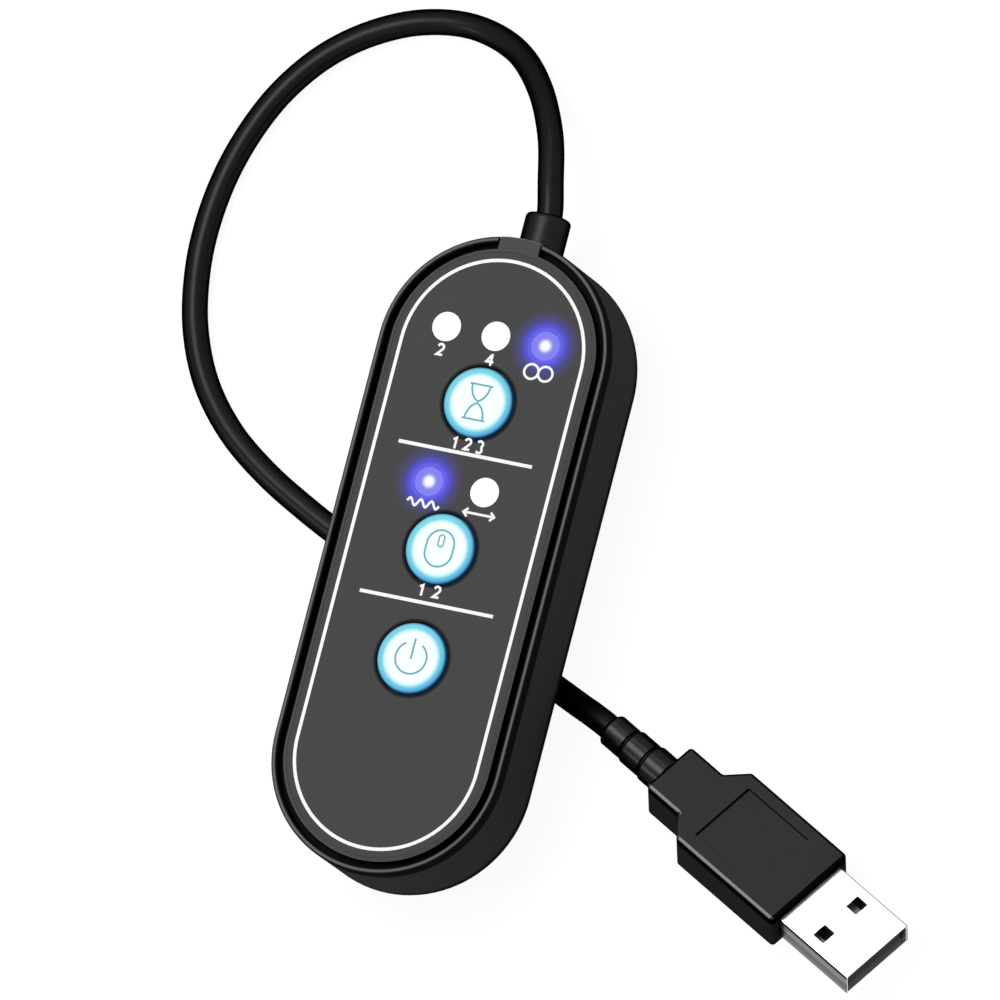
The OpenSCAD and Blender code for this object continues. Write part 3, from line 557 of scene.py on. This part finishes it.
# The sunken panel runs out to the top at its front; a line closes its rear, another its far side
PANEL_REAR = GRIP_X + 1.6
PANEL_FRONT = PANEL_REAR + 13.6
PANEL_LOW, PANEL_HIGH = -5.2, 5.2
PANEL_DEPTH = 0.3
PANEL_RUN_OUT = 0.03
REAR_LINE_HALF, REAR_LINE_DEPTH = 0.15, 0.55
SIDE_LINE_HALF, SIDE_LINE_DEPTH, SIDE_LINE_SHORT = 0.1, 0.4, 2
SHELL_HALF_W, SHELL_HALF_H = 6.05, 2.3
SHELL_REAR = FRONT_X - 5
CUT_PAST = 1
BLOCK_FACES = ((3, 2, 1, 0), (4, 5, 6, 7), (0, 1, 5, 4), (1, 2, 6, 5), (2, 3, 7, 6),
               (3, 0, 4, 7))

# How a face has to lie for each finish, as parts of its normal
FLAT, UPRIGHT, LIT_RISE, TURNED = 0.995, 0.1, 0.6, 0.1


def evaluated(item):
    """The item's mesh with its modifiers applied."""
    bpy.context.view_layer.update()
    graph = bpy.context.evaluated_depsgraph_get()
    return bpy.data.meshes.new_from_object(item.evaluated_get(graph))


def cutter(name, corners):
    """A closed block from eight corners, four below and four above, in plug millimetres."""
    shape = bmesh.new()
    verts = [shape.verts.new(Vector(corner) * MM) for corner in corners]
    for loop in BLOCK_FACES:
        shape.faces.new([verts[i] for i in loop])
    return new_object(name, to_mesh(name, shape))


def block(x0, x1, y0, y1, z0, z1, z0_front=None):
    """The corners of a box, whose underside may slope to another height at the front."""
    front = z0 if z0_front is None else z0_front
    return [(x0, y0, z0), (x1, y0, front), (x1, y1, front), (x0, y1, z0),
            (x0, y0, z1), (x1, y0, z1), (x1, y1, z1), (x0, y1, z1)]


def grip_material(normal):
    """The finish of a grip face: 0 flat, 1 near edge with a painted highlight, 2 other edges with
    painted shade, or 3 side.
    """
    if abs(normal.z) > FLAT:
        return 0
    if abs(normal.z) < UPRIGHT:
        return 3
    if normal.z > LIT_RISE and normal.y < -TURNED:
        return 1 if abs(normal.x) < TURNED else 0
    return 2


def is_level(edge):
    return abs(edge.verts[0].co.z - edge.verts[1].co.z) < SAME_HEIGHT


def round_edges(shape, edges, radius, steps):
    bmesh.ops.bevel(shape, geom=edges, offset=radius * MM, segments=steps, affect="EDGES",
                    profile=0.5)


def grip_blank():
    """The grip's outline with rounded corners and rims, still without its panel."""
    shape = bmesh.new()
    x0, x1, x2, x3 = NECK_X, SHOULDER_X, GRIP_X, FRONT_X
    outline = [(x0, -NECK_HALF), (x1, -NECK_HALF), (x2, -GRIP_HALF), (x3, -GRIP_HALF),
               (x3, GRIP_HALF), (x2, GRIP_HALF), (x1, NECK_HALF), (x0, NECK_HALF)]
    low = [shape.verts.new(Vector((x, y, -GRIP_HALF_T)) * MM) for x, y in outline]
    high = [shape.verts.new(Vector((x, y, GRIP_HALF_T)) * MM) for x, y in outline]
    shape.faces.new(low[::-1])
    shape.faces.new(high)
    count = len(outline)
    for i in range(count):
        j = (i + 1) % count
        shape.faces.new((low[i], low[j], high[j], high[i]))
    upright = [edge for edge in shape.edges if not is_level(edge)]
    ends = [edge for edge in upright if edge.verts[0].co.x < x0 * MM + AT_END
            or edge.verts[0].co.x > x3 * MM - AT_END]
    shoulders = [edge for edge in upright if edge not in ends]
    round_edges(shape, ends, *CORNER_ROUND)
    round_edges(shape, shoulders, *SHOULDER_ROUND)
    rims = [edge for edge in shape.edges if is_level(edge)
            and abs(abs(edge.verts[0].co.z) - GRIP_HALF_T * MM) < SAME_HEIGHT]
    round_edges(shape, rims, *RIM_ROUND)
    bmesh.ops.recalc_face_normals(shape, faces=shape.faces)
    return new_object("grip_blank", to_mesh("grip_blank", shape))


def cut_grip(blank):
    """The blank's mesh with its panel, its two fine lines and the shell's seat cut in."""
    top = GRIP_HALF_T
    past = top + CUT_PAST
    cutters = [
        cutter("panel_cut", block(PANEL_REAR, PANEL_FRONT, PANEL_LOW, PANEL_HIGH,
                                  top - PANEL_DEPTH, past, top + PANEL_RUN_OUT)),
        cutter("line_cut", block(PANEL_REAR - REAR_LINE_HALF, PANEL_REAR + REAR_LINE_HALF,
                                 PANEL_LOW, PANEL_HIGH, top - REAR_LINE_DEPTH, past)),
        cutter("side_cut", block(PANEL_REAR, PANEL_FRONT - SIDE_LINE_SHORT,
                                 PANEL_HIGH - SIDE_LINE_HALF, PANEL_HIGH + SIDE_LINE_HALF,
                                 top - SIDE_LINE_DEPTH, past)),
        cutter("shell_cut", block(SHELL_REAR, FRONT_X + CUT_PAST, -SHELL_HALF_W, SHELL_HALF_W,
                                  -SHELL_HALF_H, SHELL_HALF_H)),
    ]
    for item in cutters:
        cut = blank.modifiers.new(item.name, "BOOLEAN")
        cut.operation = "DIFFERENCE"
        cut.solver = "EXACT"
        cut.object = item
    mesh = evaluated(blank)
    for item in cutters + [blank]:
        bpy.data.objects.remove(item)
    return mesh


def make_grip():
    mesh = cut_grip(grip_blank())
    mesh.materials.clear()
    # The grip's black, a painted highlight on its near top edge, painted shade on its other rounded
    # edges, and its sides
    for material in (finish("plug_black", "373737", 0.45, specular=0.02, tone=0.04),
                     finish("plug_edge_painted_highlight", "747474", 0.4, specular=0.4, tone=0.04),
                     finish("plug_edge_painted_shade", "0c0c0c", 0.45, specular=0.0, tone=0.04),
                     grip_side_finish()):
        mesh.materials.append(material)
    for face in mesh.polygons:
        face.material_index = grip_material(face.normal)
    mesh.transform(PLUG_FRAME)
    mesh.shade_smooth()
    mesh.set_sharp_from_angle(angle=GRIP_CREASE)
    grip = on_housing("plug_grip", mesh)
    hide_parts("plug_overmould")
    return grip


grip = make_grip()


# ---- Floor and light ----

FLOOR_HALF = 3.0
FLOOR_LEVEL = -0.02 * MM
FLOOR_SHADE = (0.9, 0.9, 0.9, 1)
FLOOR_GLOW = 0.93
FLOOR_SHADOW = (0.12, 0.12, 0.12, 1)
FILL = 0.33
LIGHT_AIM = Vector((0, 0, 0.01))

# Name, direction, distance and size in metres, and power in watts
LIGHTS = (("key", (-0.2, 0.15, 0.96), 0.8, (0.36, 0.36), 3.6),
          ("side", (-0.66, -0.42, 0.62), 0.9, (0.07, 0.14), 0.9),
          ("back", (-0.05, 0.7, 0.72), 0.9, (0.08, 0.06), 0.35))


def background_share(tree):
    """1 for rays from the camera, mirrors and glass, which see the plain white background."""
    rays = add(tree, "ShaderNodeLightPath")
    first = add(tree, "ShaderNodeMath", operation="MAXIMUM")
    tree.links.new(rays.outputs["Is Camera Ray"], first.inputs[0])
    tree.links.new(rays.outputs["Is Glossy Ray"], first.inputs[1])
    second = add(tree, "ShaderNodeMath", operation="MAXIMUM")
    tree.links.new(first.outputs[0], second.inputs[0])
    tree.links.new(rays.outputs["Is Transmission Ray"], second.inputs[1])
    return second.outputs[0]


def make_floor():
    """A plain floor: the camera sees it near white, and it keeps the part's shadow."""
    shape = bmesh.new()
    half = FLOOR_HALF
    shape.faces.new([shape.verts.new((x, y, FLOOR_LEVEL)) for x, y in
                     ((-half, -half), (half, -half), (half, half), (-half, half))])
    data = to_mesh("floor", shape)
    material = bpy.data.materials.new("floor_white")
    material.use_nodes = True
    tree = material.node_tree
    tree.nodes.remove(tree.nodes["Principled BSDF"])
    surface = add(tree, "ShaderNodeBsdfDiffuse", Color=FLOOR_SHADE)
    glow = add(tree, "ShaderNodeEmission", Color=WHITE, Strength=FLOOR_GLOW)
    dim = add(tree, "ShaderNodeBsdfDiffuse", Color=FLOOR_SHADOW)
    both = add(tree, "ShaderNodeAddShader")
    tree.links.new(glow.outputs[0], both.inputs[0])
    tree.links.new(dim.outputs[0], both.inputs[1])
    mix = add(tree, "ShaderNodeMixShader")
    tree.links.new(background_share(tree), mix.inputs[0])
    tree.links.new(surface.outputs[0], mix.inputs[1])
    tree.links.new(both.outputs[0], mix.inputs[2])
    tree.links.new(mix.outputs[0], tree.nodes["Material Output"].inputs["Surface"])
    data.materials.append(material)
    floor = new_object("floor", data)


def make_world():
    world = bpy.data.worlds.new("studio")
    bpy.context.scene.world = world
    world.use_nodes = True
    tree = world.node_tree
    background = tree.nodes["Background"]
    background.inputs["Color"].default_value = WHITE
    strength = add(tree, "ShaderNodeMapRange", To_Min=FILL, To_Max=1.0)
    tree.links.new(background_share(tree), strength.inputs["Value"])
    tree.links.new(strength.outputs["Result"], background.inputs["Strength"])


def soft_light(name, direction, distance, size, power):
    data = bpy.data.lights.new(name, "AREA")
    data.shape = "RECTANGLE"
    data.size, data.size_y = size
    data.energy = power
    light = new_object(name, data)
    way = Vector(direction).normalized()
    light.location = LIGHT_AIM + way * distance
    light.rotation_mode = "QUATERNION"
    light.rotation_quaternion = way.to_track_quat("Z", "Y")


make_floor()
make_world()
for settings in LIGHTS:
    soft_light(*settings)
